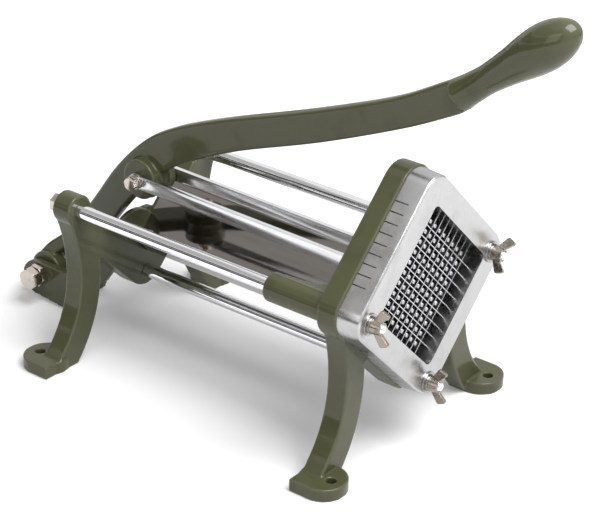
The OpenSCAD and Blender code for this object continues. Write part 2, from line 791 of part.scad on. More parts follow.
module link_bolt_nuts() {
    first = washer_in_y + small_washer_t;
    color(nickel)
    for (y = [-first, first + jam_h])
        translate([bolt_at[0], y, bolt_at[1]]) rotate([90, 30, 0]) difference() {
            hex_prism(link_af, jam_h);
            translate([0, 0, -1]) cylinder(r = link_bolt_d / 2 + run_fit / 2, h = jam_h + 2, $fn = 48);
        }
}

module hinge_bolt() {
    head_y = ear_out_y + hinge_nut_h + 2;
    color(nickel) {
        along_y(-head_y - tiny, head_y + ear_out_y + 1.5) translate([hinge_x, hinge_z])
            circle(d = hinge_bolt_d, $fn = 64);
        translate([hinge_x, -head_y, hinge_z]) rotate([90, 20, 0]) hex_prism(hinge_af, hinge_head_h);
    }
}

module hinge_jam_nut() {
    color(nickel)
    translate([hinge_x, -ear_out_y, hinge_z]) rotate([90, 5, 0]) difference() {
        hex_prism(hinge_af, hinge_nut_h);
        translate([0, 0, -1]) cylinder(r = hinge_bolt_d / 2 + run_fit, h = hinge_nut_h + 2, $fn = 64);
    }
}

// Hexagon along Z whose corners are cut back by a cone at the free end
module hex_prism(af, h) {
    intersection() {
        cylinder(d = af / cos(30), h = h, $fn = 6);
        cylinder(r1 = af * 0.9, r2 = af * 0.52, h = h + tiny, $fn = 64);
    }
}

module diamond(half, r) {
    translate([0, axis_z]) rotate(45) {
        square([2 * half, 2 * (half - r)], center = true);
        square([2 * (half - r), 2 * half], center = true);
        for (a = [-1, 1], b = [-1, 1]) translate([a * (half - r), b * (half - r)]) circle(r = r, $fn = 64);
    }
}

module rod_holes(x, length, r) {
    for (p = rod_places) x_cylinder(x, length, r, p);
}

module x_cylinder(x, length, r, place) {
    translate([x, place[0], place[1]]) rotate([0, 90, 0]) cylinder(r = r, h = length, $fn = 64);
}

module ring(x, t, r_out, r_in, place) {
    along_x(x, t) translate(place) difference() {
        circle(r = r_out, $fn = 64);
        circle(r = r_in, $fn = 48);
    }
}

module y_bore(x, z, r, length) {
    translate([x, 0, z]) rotate([90, 0, 0]) cylinder(r = r, h = length, center = true, $fn = 64);
}

module both_sides() {
    children();
    mirror([1, 0]) children();
}

module both_ears() {
    along_y(ear_in_y, ear_t) children();
    along_y(-ear_out_y, ear_t) children();
}

// A flat outline in Y and Z, drawn out along X
module along_x(x, length) {
    translate([x, 0, 0]) rotate([90, 0, 90]) linear_extrude(length) children();
}

// A flat outline in X and Z, drawn out along Y
module along_y(y, length) {
    translate([0, y + length, 0]) rotate([90, 0, 0]) linear_extrude(length) children();
}

front_frame();
rear_frame();
tray();
tray_screws();
guide_rod(rod_places[0]);  // guide_rod_left
guide_rod(rod_places[1]);  // guide_rod_right
guide_rod(rod_places[2]);  // tie_rod_bottom
rod_bolts();
blade_holder();
blades(-45, true);  // blades_level_set
blades(45, false);  // blades_cross_set
flat_washers();
spring_washers();
wing_nut(rod_places[0], wing_turn_left);  // wing_nut_left
wing_nut(rod_places[1], wing_turn_right);  // wing_nut_right
wing_nut(rod_places[2], wing_turn_low);  // wing_nut_bottom
pusher_carriage();
pusher_block();
block_screws();
link(-1);  // link_left
link(1);  // link_right
link_pin();
link_pin_clips();
lever();
link_bolt();
link_bolt_washers();
link_bolt_nuts();
hinge_bolt();
hinge_jam_nut();
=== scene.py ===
"""French fry cutter: enamelled castings, chrome rods, a pin pusher and a blade grid.

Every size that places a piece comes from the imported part. This file adds rounded edges,
threads, pins and finishes, and a plain stage.
"""

import math
from collections import namedtuple

import bmesh
import bpy
from mathutils import Matrix, Vector


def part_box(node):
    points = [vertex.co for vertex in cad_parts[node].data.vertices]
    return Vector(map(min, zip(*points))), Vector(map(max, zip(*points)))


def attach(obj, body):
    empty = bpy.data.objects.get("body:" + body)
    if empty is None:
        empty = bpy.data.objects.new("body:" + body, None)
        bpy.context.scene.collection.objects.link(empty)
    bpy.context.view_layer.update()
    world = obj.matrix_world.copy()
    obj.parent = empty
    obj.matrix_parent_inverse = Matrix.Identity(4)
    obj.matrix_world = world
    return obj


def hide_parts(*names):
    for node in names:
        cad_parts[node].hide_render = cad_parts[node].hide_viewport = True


bl_info = {
    "name": "French fry cutter dresser",
    "version": (1, 0, 0),
    "blender": (4, 5, 0),
    "location": "View3D > Sidebar > Fry cutter",
    "description": "Rounds, threads and finishes the pieces of a lever-operated fry cutter",
    "category": "Object",
}

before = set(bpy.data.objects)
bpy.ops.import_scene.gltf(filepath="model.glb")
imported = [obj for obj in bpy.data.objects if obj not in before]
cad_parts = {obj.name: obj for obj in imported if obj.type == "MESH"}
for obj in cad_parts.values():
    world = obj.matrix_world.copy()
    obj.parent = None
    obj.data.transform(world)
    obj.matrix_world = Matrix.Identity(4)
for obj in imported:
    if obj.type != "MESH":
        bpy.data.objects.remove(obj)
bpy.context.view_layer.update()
MM = 0.001


# ---------------------------------------------------------------- settings

def colour(name, description, default):
    return bpy.props.FloatVectorProperty(
        name=name, description=description, subtype="COLOR", size=3, min=0, max=1, default=default)


def length(name, description, millimetres):
    return bpy.props.FloatProperty(
        name=name, description=description, subtype="DISTANCE", unit="LENGTH",
        min=0, precision=5, default=millimetres * MM)


def number(name, description, default):
    return bpy.props.FloatProperty(name=name, description=description, default=default)


def angle(name, description, degrees):
    return bpy.props.FloatProperty(
        name=name, description=description, subtype="ANGLE", unit="ROTATION",
        default=math.radians(degrees))


class CutterFinishes(bpy.types.PropertyGroup):
    enamel: colour("Enamel", "Gloss olive enamel on the castings", (0.063, 0.067, 0.031))
    # The pooled colour makes random clouds, and is also painted shade in inner corners.
    enamel_deep_and_corner_shade: colour("Enamel, pooled", "Enamel where it lies thicker", (0.045, 0.049, 0.022))
    # The thin colour lightens outer edges: partly thin enamel, partly a painted highlight.
    enamel_thin_and_edge_highlight: colour("Enamel, thin", "Enamel where it is thin on an edge", (0.080, 0.084, 0.046))
    chrome: colour("Chrome", "Bright plate on the rods, and satin plate on the links",
                   (0.80, 0.81, 0.83))
    nickel: colour("Nickel", "Warm plate on the bolts and nuts", (0.56, 0.51, 0.45))
    nickel_dull: colour("Nickel, dull", "Plate where it has dulled", (0.36, 0.32, 0.27))
    forging: colour("Forged nuts", "Warm plate on the wing nuts", (0.31, 0.275, 0.235))
    forging_dull: colour("Forged nuts, dull", "Wing nuts where the plate has dulled",
                         (0.19, 0.165, 0.135))
    zinc: colour("Zinc", "Plate on the washers", (0.36, 0.35, 0.34))
    alloy: colour("Alloy", "Polished aluminium of the cutting head", (0.44, 0.44, 0.44))
    alloy_dull: colour("Alloy, dull", "Aluminium where the polish is cloudy",
                       (0.365, 0.365, 0.365))
    stainless: colour("Stainless", "Polished sheet of the tray", (0.33, 0.31, 0.295))
    blade: colour("Blade steel", "Ground steel of the blades", (0.60, 0.61, 0.62))


class CutterSizes(bpy.types.PropertyGroup):
    casting_grid: length("Casting grid", "Mesh size of the softened castings", 1.0)
    nut_grid: length("Wing nut grid", "Mesh size of the forged wing nuts", 0.3)
    edge: length("Edge", "Width of the rounding on machined edges", 0.35)
    plate_edge: length("Plate edge", "Width of the rounding on links and plates", 0.5)
    pin_side: length("Pin side", "Side of a square pin", 5.0)
    pin_length: length("Pin length", "Length of a pin", 24.0)
    pin_pitch: length("Pin pitch", "Distance between pins", 9.525)
    pin_corner: length("Pin corner", "Radius of a pin's corners and tip", 1.1)
    pin_tip_share: number("Pin tip share", "Width of a pin's tip as a share of its foot", 0.76)
    thread_pitch: length("Thread pitch", "Pitch of the stud threads", 1.41)


class CutterStage(bpy.types.PropertyGroup):
    azimuth: angle("Azimuth", "Direction of the camera round the cutter", 38.307)
    elevation: angle("Elevation", "Height of the camera above the horizon", 26.837)
    roll: angle("Roll", "Roll of the camera", 1.087)
    distance: length("Distance", "Distance of the camera from its target", 1846.05)
    target: bpy.props.FloatVectorProperty(
        name="Target", description="Point that the camera looks at", subtype="TRANSLATION",
        size=3, default=(0.04041, 0.0, 0.12704))
    lens: number("Lens", "Focal length in millimetres on a 36 mm sensor", 129.02)
    floor: colour("Floor", "Pale floor", (0.80, 0.80, 0.805))
    floor_lift: number("Floor lift", "Added brightness of the floor as seen near the cutter", 0.13)
    key: number("Key lamp", "Power of the large lamp overhead, in watts", 52.0)
    fill: number("Fill lamp", "Power of the lamp beside the camera, in watts", 8.0)
    sky: number("Sky", "Strength of the pale surroundings", 0.30)


# ---------------------------------------------------------------- shader groups

NOISE_REACH = (0.3, 0.7)  # nearly all of a Noise node's values lie between these
FLAT_POINTINESS = 0.5
POINTINESS_SLACK = 0.005  # less than this counts as flat


def shader_group(name, inputs, outputs):
    """An empty group: inputs are (name, socket type, default), outputs (name, socket type)."""
    tree = bpy.data.node_groups.new(name, "ShaderNodeTree")
    for label, kind, default in inputs:
        tree.interface.new_socket(label, in_out="INPUT", socket_type=kind).default_value = default
    for label, kind in outputs:
        tree.interface.new_socket(label, in_out="OUTPUT", socket_type=kind)
    return tree, tree.nodes.new("NodeGroupInput"), tree.nodes.new("NodeGroupOutput")


def node(tree, kind, values=(), **settings):
    """A node of that kind with its settings, and values for its inputs by name or number."""
    made = tree.nodes.new(kind)
    for key, value in settings.items():
        setattr(made, key, value)
    for key, value in dict(values).items():
        made.inputs[key].default_value = value
    return made


def stretched_noise(tree, give, scale, stretch, detail, roughness=0.5):
    """Noise on Object coordinates, scaled by the vector input called stretch."""
    place = node(tree, "ShaderNodeTexCoord")
    spread = node(tree, "ShaderNodeVectorMath", operation="MULTIPLY")
    noise = node(tree, "ShaderNodeTexNoise", {"Detail": detail, "Roughness": roughness})
    tree.links.new(place.outputs["Object"], spread.inputs[0])
    tree.links.new(give.outputs[stretch], spread.inputs[1])
    tree.links.new(spread.outputs[0], noise.inputs["Vector"])
    tree.links.new(give.outputs[scale], noise.inputs["Scale"])
    return noise


def mottle_group():
    """Cloudy change from one colour to another, as in polish or pooled enamel."""
    tree, give, take = shader_group(
        "Mottle",
        [("Main", "NodeSocketColor", (1, 1, 1, 1)), ("Other", "NodeSocketColor", (0, 0, 0, 1)),
         ("Scale", "NodeSocketFloat", 30.0), ("Stretch", "NodeSocketVector", (1, 1, 1)),
         ("Start", "NodeSocketFloat", 0.45), ("End", "NodeSocketFloat", 0.75)],
        [("Color", "NodeSocketColor")])
    noise = stretched_noise(tree, give, "Scale", "Stretch", detail=5.0, roughness=0.6)
    reach = node(tree, "ShaderNodeMapRange", interpolation_type="SMOOTHSTEP")
    blend = node(tree, "ShaderNodeMix", data_type="RGBA")
    tree.links.new(noise.outputs["Fac"], reach.inputs["Value"])
    tree.links.new(give.outputs["Start"], reach.inputs["From Min"])
    tree.links.new(give.outputs["End"], reach.inputs["From Max"])
    tree.links.new(reach.outputs["Result"], blend.inputs["Factor"])
    tree.links.new(give.outputs["Main"], blend.inputs["A"])
    tree.links.new(give.outputs["Other"], blend.inputs["B"])
    tree.links.new(blend.outputs["Result"], take.inputs["Color"])
    return tree


def gloss_group():
    """Roughness that wanders between two values, as grinding and handling leave it."""
    tree, give, take = shader_group(
        "Uneven gloss",
        [("Low", "NodeSocketFloat", 0.1), ("High", "NodeSocketFloat", 0.3),
         ("Scale", "NodeSocketFloat", 60.0), ("Stretch", "NodeSocketVector", (1, 1, 1))],
        [("Roughness", "NodeSocketFloat")])
    noise = stretched_noise(tree, give, "Scale", "Stretch", detail=4.0)
    reach = node(tree, "ShaderNodeMapRange",
                 {"From Min": NOISE_REACH[0], "From Max": NOISE_REACH[1]})
    tree.links.new(noise.outputs["Fac"], reach.inputs["Value"])
    tree.links.new(give.outputs["Low"], reach.inputs["To Min"])
    tree.links.new(give.outputs["High"], reach.inputs["To Max"])
    tree.links.new(reach.outputs["Result"], take.inputs["Roughness"])
    return tree


def relief_group():
    """Two sizes of unevenness as one height: orange peel in enamel, or grinding lines."""
    tree, give, take = shader_group(
        "Fine relief",
        [("Coarse Scale", "NodeSocketFloat", 120.0), ("Fine Scale", "NodeSocketFloat", 700.0),
         ("Fine Share", "NodeSocketFloat", 0.3), ("Stretch", "NodeSocketVector", (1, 1, 1))],
        [("Height", "NodeSocketFloat")])
    coarse = stretched_noise(tree, give, "Coarse Scale", "Stretch", detail=2.0)
    fine = stretched_noise(tree, give, "Fine Scale", "Stretch", detail=3.0)
    blend = node(tree, "ShaderNodeMix", data_type="FLOAT")
    tree.links.new(give.outputs["Fine Share"], blend.inputs["Factor"])
    tree.links.new(coarse.outputs["Fac"], blend.inputs["A"])
    tree.links.new(fine.outputs["Fac"], blend.inputs["B"])
    tree.links.new(blend.outputs["Result"], take.inputs["Height"])
    return tree


def edge_group():
    """Masks for outer edges and inner corners of a finely meshed casting, which place a painted
    highlight on edges and painted shade in corners.
    """
    tree, give, take = shader_group(
        "Edges and corners",
        [("Spread", "NodeSocketFloat", 0.03)],
        [("Edge", "NodeSocketFloat"), ("Corner", "NodeSocketFloat")])
    shape = node(tree, "ShaderNodeNewGeometry")
    above = node(tree, "ShaderNodeMath", {1: FLAT_POINTINESS}, operation="ADD")
    below = node(tree, "ShaderNodeMath", {0: FLAT_POINTINESS}, operation="SUBTRACT")
    edge = node(tree, "ShaderNodeMapRange", {"From Min": FLAT_POINTINESS + POINTINESS_SLACK})
    corner = node(tree, "ShaderNodeMapRange", {
        "From Max": FLAT_POINTINESS - POINTINESS_SLACK, "To Min": 1.0, "To Max": 0.0})
    tree.links.new(give.outputs["Spread"], above.inputs[0])
    tree.links.new(give.outputs["Spread"], below.inputs[1])
    tree.links.new(shape.outputs["Pointiness"], edge.inputs["Value"])
    tree.links.new(shape.outputs["Pointiness"], corner.inputs["Value"])
    tree.links.new(above.outputs[0], edge.inputs["From Max"])
    tree.links.new(below.outputs[0], corner.inputs["From Min"])
    tree.links.new(edge.outputs["Result"], take.inputs["Edge"])
    tree.links.new(corner.outputs["Result"], take.inputs["Corner"])
    return tree


# ---------------------------------------------------------------- materials

MATERIAL_NAMES = {
    "enamel": "Olive enamel", "chrome": "Bright chrome", "satin": "Satin chrome",
    "nickel": "Warm nickel", "forging": "Forged nickel", "zinc": "Zinc plate",
    "alloy": "Polished alloy", "stainless": "Mirror stainless", "blade": "Ground blade"}
GLOSS_SHARE = 1.7       # scale of a metal's gloss clouds against that of its colour clouds
METAL_FINE_SHARE = 0.4  # share of the fine relief in a metal's relief

# main and other are the colours of the clouds, which start and end at those noise values. low
# and high are the gloss's limits, scale and stretch are the clouds', and the rest is the relief,
# whose distance is in metres.
Metal = namedtuple(
    "Metal", "main other low high scale strength coarse fine stretch distance start end",
    defaults=((1, 1, 1), 0.0002, 0.48, 0.8))


def use_group(material, tree, **values):
    """Places a group in a material. An input's name is written with _ for a space."""
    made = material.node_tree.nodes.new("ShaderNodeGroup")
    made.node_tree = tree
    for key, value in values.items():
        made.inputs[key.replace("_", " ")].default_value = value
    return made


def new_material(name, **values):
    """A material and its Principled BSDF, whose inputs' names are written with _ for a space."""
    material = bpy.data.materials.new(name)
    material.use_nodes = True
    surface = material.node_tree.nodes["Principled BSDF"]
    for key, value in values.items():
        surface.inputs[key.replace("_", " ")].default_value = value
    return material, surface


def rgba(value):
    return (*value, 1.0)


def relief_on(material, surface, tree, strength, distance, **values):
    """Feeds a Bump node from the relief group to the surface's Normal."""
    relief = use_group(material, tree, **values)
    bump = node(material.node_tree, "ShaderNodeBump", {"Strength": strength, "Distance": distance})
    material.node_tree.links.new(relief.outputs["Height"], bump.inputs["Height"])
    material.node_tree.links.new(bump.outputs["Normal"], surface.inputs["Normal"])


def enamel_material(name, groups, look):
    """Gloss olive enamel with pooled clouds and a fine orange peel. It is lighter on outer edges,
    from thin enamel and a painted highlight, and darker in inner corners as painted shade.
    """
    material, surface = new_material(
        name, Coat_Weight=0.54, Coat_Roughness=0.09, Specular_IOR_Level=0.10)
    links = material.node_tree.links
    mottle = use_group(material, groups["mottle"], Main=rgba(look.enamel),
                       Other=rgba(look.enamel_deep_and_corner_shade), Scale=26.0, Start=0.50, End=0.80)
    edges = use_group(material, groups["edge"], Spread=0.035)
    # Thin enamel with a painted highlight: outer edges are mixed towards a lighter colour.
    thin_enamel_and_highlight = node(material.node_tree, "ShaderNodeMix", data_type="RGBA")
    thin_enamel_and_highlight.inputs["B"].default_value = rgba(look.enamel_thin_and_edge_highlight)
    # Painted shade: inner corners are mixed towards the darker pooled colour.
    corner_shade = node(material.node_tree, "ShaderNodeMix", data_type="RGBA")
    corner_shade.inputs["B"].default_value = rgba(look.enamel_deep_and_corner_shade)
    links.new(edges.outputs["Edge"], thin_enamel_and_highlight.inputs["Factor"])
    links.new(mottle.outputs["Color"], thin_enamel_and_highlight.inputs["A"])
    links.new(thin_enamel_and_highlight.outputs["Result"], corner_shade.inputs["A"])
    links.new(edges.outputs["Corner"], corner_shade.inputs["Factor"])
    links.new(corner_shade.outputs["Result"], surface.inputs["Base Color"])
    gloss = use_group(material, groups["gloss"], Low=0.38, High=0.55, Scale=55.0)
    links.new(gloss.outputs["Roughness"], surface.inputs["Roughness"])
    relief_on(material, surface, groups["relief"], strength=0.60, distance=0.0007,
              Coarse_Scale=95.0, Fine_Scale=420.0, Fine_Share=0.22)


def metal_material(name, groups, metal):
    """A metal finish: cloudy colour, wandering gloss and fine lines along one direction."""
    material, surface = new_material(name, Metallic=1.0)
    links = material.node_tree.links
    mottle = use_group(material, groups["mottle"], Main=rgba(metal.main), Other=rgba(metal.other),
                       Scale=metal.scale, Stretch=metal.stretch, Start=metal.start, End=metal.end)
    gloss = use_group(material, groups["gloss"], Low=metal.low, High=metal.high,
                      Scale=metal.scale * GLOSS_SHARE, Stretch=metal.stretch)
    links.new(mottle.outputs["Color"], surface.inputs["Base Color"])
    links.new(gloss.outputs["Roughness"], surface.inputs["Roughness"])
    relief_on(material, surface, groups["relief"], metal.strength, metal.distance,
              Coarse_Scale=metal.coarse, Fine_Scale=metal.fine, Fine_Share=METAL_FINE_SHARE,
              Stretch=metal.stretch)


def shade(value, factor):
    return tuple(v * factor for v in value)


def metals(look):
    """The metal finishes by short name."""
    return {
        "chrome": Metal(
            look.chrome, shade(look.chrome, 0.86), low=0.035, high=0.10, scale=18.0,
            strength=0.05, coarse=150.0, fine=900.0, stretch=(1, 8, 8)),
        "satin": Metal(
            shade(look.chrome, 0.92), shade(look.chrome, 0.70), low=0.15, high=0.27, scale=18.0,
            strength=0.08, coarse=150.0, fine=900.0, stretch=(1, 8, 8)),
        "nickel": Metal(
            look.nickel, look.nickel_dull, low=0.14, high=0.30, scale=160.0,
            strength=0.10, coarse=260.0, fine=1300.0, start=0.52, end=0.85),
        "forging": Metal(
            look.forging, look.forging_dull, low=0.16, high=0.34, scale=160.0,
            strength=0.25, coarse=260.0, fine=1300.0, distance=0.0003),
        "zinc": Metal(
            look.zinc, shade(look.zinc, 0.72), low=0.18, high=0.36, scale=220.0,
            strength=0.15, coarse=400.0, fine=1500.0),
        "alloy": Metal(
            look.alloy, look.alloy_dull, low=0.22, high=0.36, scale=38.0,
            strength=0.10, coarse=130.0, fine=1100.0, distance=0.0003),
        "stainless": Metal(
            look.stainless, shade(look.stainless, 0.80), low=0.03, high=0.09, scale=12.0,
            strength=0.035, coarse=24.0, fine=500.0, stretch=(0.5, 4, 4), distance=0.0003),
        "blade": Metal(
            look.blade, shade(look.blade, 0.6), low=0.14, high=0.32, scale=60.0,
            strength=0.12, coarse=200.0, fine=1200.0, stretch=(6, 1, 1)),
    }


def make_materials(look):
    groups = {"mottle": mottle_group(), "gloss": gloss_group(), "relief": relief_group(),
              "edge": edge_group()}
    enamel_material(MATERIAL_NAMES["enamel"], groups, look)
    for key, metal in metals(look).items():
        metal_material(MATERIAL_NAMES[key], groups, metal)


def finish_named(name):
    """The material of that short name, made by the finishes operator."""
    return bpy.data.materials[MATERIAL_NAMES[name]]


# ---------------------------------------------------------------- mesh helpers

WELD_DISTANCE = 2e-6    # the CAD meshes are loose triangles whose corners meet this closely
SHORTEST_EDGE = 1e-6    # a shorter one is closed up
FLAT_WITHIN = math.radians(0.3)
SMOOTHING = 0.5         # how far one round of smoothing moves a point towards its neighbours

# Angles between faces in degrees, from which on an edge is bevelled or drawn sharp
BEVEL_FROM = 32
HOLDER_BEVEL_FROM = 35
MACHINED_SHARP_FROM = 22


def merged_copy(cad_node):
    """A copy of the node's mesh with its loose triangles joined."""
    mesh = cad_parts[cad_node].data.copy()
    shape = bmesh.new()
    shape.from_mesh(mesh)
    bmesh.ops.remove_doubles(shape, verts=shape.verts, dist=WELD_DISTANCE)
    bmesh.ops.dissolve_degenerate(shape, edges=shape.edges, dist=SHORTEST_EDGE)
    shape.to_mesh(mesh)
    shape.free()
    for attribute in [a for a in mesh.attributes if a.name == "custom_normal"]:
        mesh.attributes.remove(attribute)
    return mesh


def dissolved(mesh):
    """The same mesh with its flat areas made whole faces."""
    shape = bmesh.new()
    shape.from_mesh(mesh)
    bmesh.ops.dissolve_limit(
        shape, angle_limit=FLAT_WITHIN, verts=shape.verts, edges=shape.edges)
    shape.to_mesh(mesh)
    shape.free()
    return mesh


def new_object(name, data):
    made = bpy.data.objects.new(name, data)
    bpy.context.scene.collection.objects.link(made)
    return made


def applied(obj):
    """Replaces the object's mesh with what its modifiers make of it, and removes them."""
    bpy.context.view_layer.update()
    shown = obj.evaluated_get(bpy.context.evaluated_depsgraph_get())
    result = bpy.data.meshes.new_from_object(shown)
    old = obj.data
    obj.modifiers.clear()
    obj.data = result
    result.name = obj.name
    bpy.data.meshes.remove(old)


def sharpen(mesh, degrees):
    """Shades the mesh smooth, apart from edges at which its faces turn by that angle or more."""
    mesh.shade_smooth()
    mesh.set_sharp_from_angle(angle=math.radians(degrees))


def place_piece(obj, body, material, slot, *nodes):
    """Gives a finished piece its material and CAD body, and hides the nodes it replaces. The slot
    is not used.
    """
    if material is not None:
        obj.data.materials.clear()
        obj.data.materials.append(finish_named(material))
    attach(obj, body)
    if nodes:
        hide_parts(*nodes)


def soften(cad_node, name, grid, rounds):
    """A casting with rounded edges and filled corners, meshed anew from the CAD solid."""
    made = new_object(name, merged_copy(cad_node))
    remesh = made.modifiers.new("Even mesh", "REMESH")
    remesh.mode, remesh.voxel_size = "VOXEL", grid
    smooth = made.modifiers.new("Soft edges", "SMOOTH")
    smooth.factor, smooth.iterations = SMOOTHING, rounds
    applied(made)
    made.data.shade_smooth()
    return made


def bevelled(cad_node, name, width, segments=2, bevel_from=BEVEL_FROM):
    """A machined piece: the CAD solid with a small round on its sharp edges."""
    made = new_object(name, dissolved(merged_copy(cad_node)))
    bevel = made.modifiers.new("Edge", "BEVEL")
    bevel.width, bevel.segments = width, segments
    bevel.limit_method, bevel.angle_limit = "ANGLE", math.radians(bevel_from)
    bevel.use_clamp_overlap = True
    applied(made)
    sharpen(made.data, MACHINED_SHARP_FROM)
    return made


def give_finish(cad_node, material):
    """Gives a finish to a CAD node that stays as it is."""
    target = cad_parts[cad_node].data
    target.materials.clear()
    target.materials.append(finish_named(material))


# ---------------------------------------------------------------- rods

ROD_SIDES = 96                             # corners of a rod's section
ROD_SHARP_FROM = 35                        # degrees
ON_AXIS = 1e-7                             # a radius under this is a point on the axis

# The outline, from the rear end to the dome on the stud's tip
ROD_CHAMFER = (0.5 * MM, 0.6 * MM)         # length and depth of the rear chamfer
SHOULDER_CHAMFER = (0.6 * MM, 0.5 * MM)    # the same where the stud starts
STUD_RADIUS = 3.97 * MM
THREAD_START = 24 * MM                     # from the front frame's rear face
THREAD_END = 1.2 * MM                      # from the stud's tip
THREAD_DEPTH = 0.55 * MM
CREST_SHARE, ROOT_START, ROOT_END = 0.18, 0.5, 0.68   # shares of the pitch
THREAD_RUN_IN, THREAD_RUN_OUT = 0.2, 0.3              # shares of the pitch
RUN_OUT_STEP = (0.25 * MM, 0.2 * MM)       # length and depth of the step behind the thread
DOME_LENGTH = 0.9 * MM
DOME_EDGE = 0.5 * MM                       # how far the dome's foot lies inside the stud
DOME_FULLNESS = 0.8                        # 1 is a round dome, less is flatter
DOME_ANGLES = (0.0, 0.35, 0.7, 1.0, 1.25)


def turned(name, profile, place, pitch, thread):
    """A turned piece along X: profile is (x, radius) from end to end, on the axis at place.

    Points whose x lies within thread lean forward by one pitch a turn, which makes a screw.
    """
    shape = bmesh.new()
    rows = []
    for x, radius in profile:
        if radius < ON_AXIS:
            rows.append([shape.verts.new((x, place[0], place[1]))])
            continue
        row = []
        for i in range(ROD_SIDES):
            around = 2 * math.pi * i / ROD_SIDES
            lean = 0.0
            if thread[0] <= x <= thread[1]:
                ease = min(1.0, (x - thread[0]) / pitch, (thread[1] - x) / pitch)
                lean = pitch * (i / ROD_SIDES - 0.5) * ease
            row.append(shape.verts.new((
                x + lean, place[0] + radius * math.cos(around),
                place[1] + radius * math.sin(around))))
        rows.append(row)
    for low, high in zip(rows, rows[1:]):
        for i in range(ROD_SIDES):
            k = (i + 1) % ROD_SIDES
            if len(low) == 1:
                shape.faces.new((low[0], high[k], high[i]))
            elif len(high) == 1:
                shape.faces.new((low[i], low[k], high[0]))
            else:
                shape.faces.new((low[i], low[k], high[k], high[i]))
    bmesh.ops.recalc_face_normals(shape, faces=shape.faces)
    mesh = bpy.data.meshes.new(name)
    shape.to_mesh(mesh)
    shape.free()
    sharpen(mesh, ROD_SHARP_FROM)
    return new_object(name, mesh)


def thread_profile(start, pitch, turns):
    """Crests and roots of that many turns of a stud's thread."""
    root = STUD_RADIUS - THREAD_DEPTH
    points = []
    for i in range(turns):
        x = start + i * pitch
        points += [(x, STUD_RADIUS), (x + CREST_SHARE * pitch, STUD_RADIUS),
                   (x + ROOT_START * pitch, root), (x + ROOT_END * pitch, root)]
    return points


def rod_profile(rear, front, tip, radius, pitch):
    """A rod's outline as (x, radius), and where its thread starts and ends."""
    start = front + THREAD_START
    turns = int((tip - THREAD_END - start) / pitch)
    last = start + turns * pitch
    dome = [(tip - DOME_LENGTH * (1 - math.sin(a)),
             (STUD_RADIUS - DOME_EDGE) * math.cos(a) ** DOME_FULLNESS) for a in DOME_ANGLES]
    outline = [
        (rear, 0.0), (rear, radius - ROD_CHAMFER[1]), (rear + ROD_CHAMFER[0], radius),
        (front - SHOULDER_CHAMFER[0], radius), (front, radius - SHOULDER_CHAMFER[1]),
        (front, STUD_RADIUS), (start - THREAD_RUN_IN * pitch, STUD_RADIUS),
        *thread_profile(start, pitch, turns), (last, STUD_RADIUS),
        (last + RUN_OUT_STEP[0], STUD_RADIUS - RUN_OUT_STEP[1]), *dome, (tip, 0.0)]
    return outline, (start, last - THREAD_RUN_OUT * pitch)


# ---------------------------------------------------------------- geometry nodes

def geometry_tree(name, inputs):
    """An empty tree with these (name, socket type, default) inputs and a Geometry output."""
    tree = bpy.data.node_groups.new(name, "GeometryNodeTree")
    for label, kind, default in inputs:
        made = tree.interface.new_socket(label, in_out="INPUT", socket_type=kind)
        if default is not None:
            made.default_value = default
    tree.interface.new_socket("Geometry", in_out="OUTPUT", socket_type="NodeSocketGeometry")
    return tree, tree.nodes.new("NodeGroupInput"), tree.nodes.new("NodeGroupOutput")


def close_tree(tree, geometry, give, take):
    """Ends a tree in Realize Instances and Set Material."""
    real = node(tree, "GeometryNodeRealizeInstances")
    coat = node(tree, "GeometryNodeSetMaterial")
    tree.links.new(geometry, real.inputs["Geometry"])
    tree.links.new(real.outputs["Geometry"], coat.inputs["Geometry"])
    tree.links.new(give.outputs["Finish"], coat.inputs["Material"])
    tree.links.new(coat.outputs["Geometry"], take.inputs["Geometry"])


def grown(name, tree, values, turn):
    """Runs a geometry tree on an empty mesh, and gives the result, turned, as a plain mesh."""
    made = new_object(name, bpy.data.meshes.new(name))
    modifier = made.modifiers.new("Nodes", "NODES")
    modifier.node_group = tree
    sockets = {s.name: s.identifier for s in tree.interface.items_tree
               if s.item_type == "SOCKET" and s.in_out == "INPUT"}
    for key, value in values.items():
        modifier[sockets[key]] = value
    applied(made)
    made.data.transform(turn)
    return made


# ---------------------------------------------------------------- pusher pins

PIN_COLUMNS, PIN_ROWS = 8, 10
CORNER_POINTS = 2         # on the arc at each corner of a pin
TIP_STEPS = 3             # rings of faces that round a pin's tip
TIP_NARROWING = 0.3       # share of its width that a pin's tip loses over those rings
PIN_SHARP_FROM = 50       # degrees
PLATE_MARGIN = 0.9 * MM   # from the outer pins to the plate's edge
PLATE_ROUND = 0.8 * MM
PLATE_SHARP_FROM = 40     # degrees
DIAGONAL = math.sqrt(0.5)


